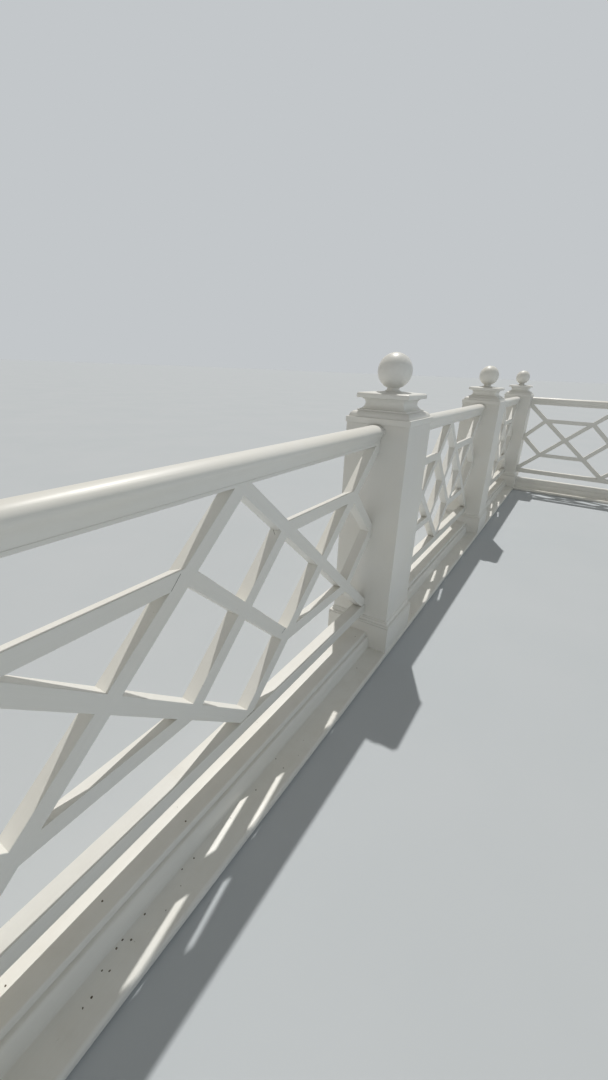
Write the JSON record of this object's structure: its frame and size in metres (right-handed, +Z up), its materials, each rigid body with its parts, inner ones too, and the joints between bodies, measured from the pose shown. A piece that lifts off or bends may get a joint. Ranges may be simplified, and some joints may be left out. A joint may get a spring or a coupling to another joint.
{
  "type": "chippendale railing",
  "caption": "Painted wooden roof railing with a Chippendale lattice between square posts with moulded caps and ball finials, turning one corner.",
  "frame": {"origin": "underside of the sill, under the middle of the corner post", "axes": "+Z up; the long run of three bays goes along -X from the corner post and the return bay along -Y; the deck is on the inner side of the corner, -Y of the long run and -X of the return"},
  "size_m": [5.842, 2.146, 1.2356],
  "materials": {
    "post_paint": "off-white satin paint on wood",
    "rail_paint": "off-white satin paint on wood",
    "base_paint": "off-white satin paint on wood, a little dusty"
  },
  "bodies": {
    "root": {"bay_1_base_beam": "base_paint", "bay_1_bottom_rail": "rail_paint", "bay_1_handrail": "rail_paint", "bay_1_lattice": "rail_paint", "bay_1_sill": "base_paint", "bay_2_base_beam": "base_paint", "bay_2_bottom_rail": "rail_paint", "bay_2_handrail": "rail_paint", "bay_2_lattice": "rail_paint", "bay_2_sill": "base_paint", "bay_3_base_beam": "base_paint", "bay_3_bottom_rail": "rail_paint", "bay_3_handrail": "rail_paint", "bay_3_lattice": "rail_paint", "bay_3_sill": "base_paint", "bay_4_base_beam": "base_paint", "bay_4_bottom_rail": "rail_paint", "bay_4_handrail": "rail_paint", "bay_4_lattice": "rail_paint", "bay_4_sill": "base_paint", "post_1_ball": "post_paint", "post_1_cap": "post_paint", "post_1_plinth": "post_paint", "post_1_shaft": "post_paint", "post_2_ball": "post_paint", "post_2_cap": "post_paint", "post_2_plinth": "post_paint", "post_2_shaft": "post_paint", "post_3_ball": "post_paint", "post_3_cap": "post_paint", "post_3_plinth": "post_paint", "post_3_shaft": "post_paint", "post_4_ball": "post_paint", "post_4_cap": "post_paint", "post_4_plinth": "post_paint", "post_4_shaft": "post_paint", "post_5_ball": "post_paint", "post_5_cap": "post_paint", "post_5_plinth": "post_paint", "post_5_shaft": "post_paint"}
  },
  "joints": []
}
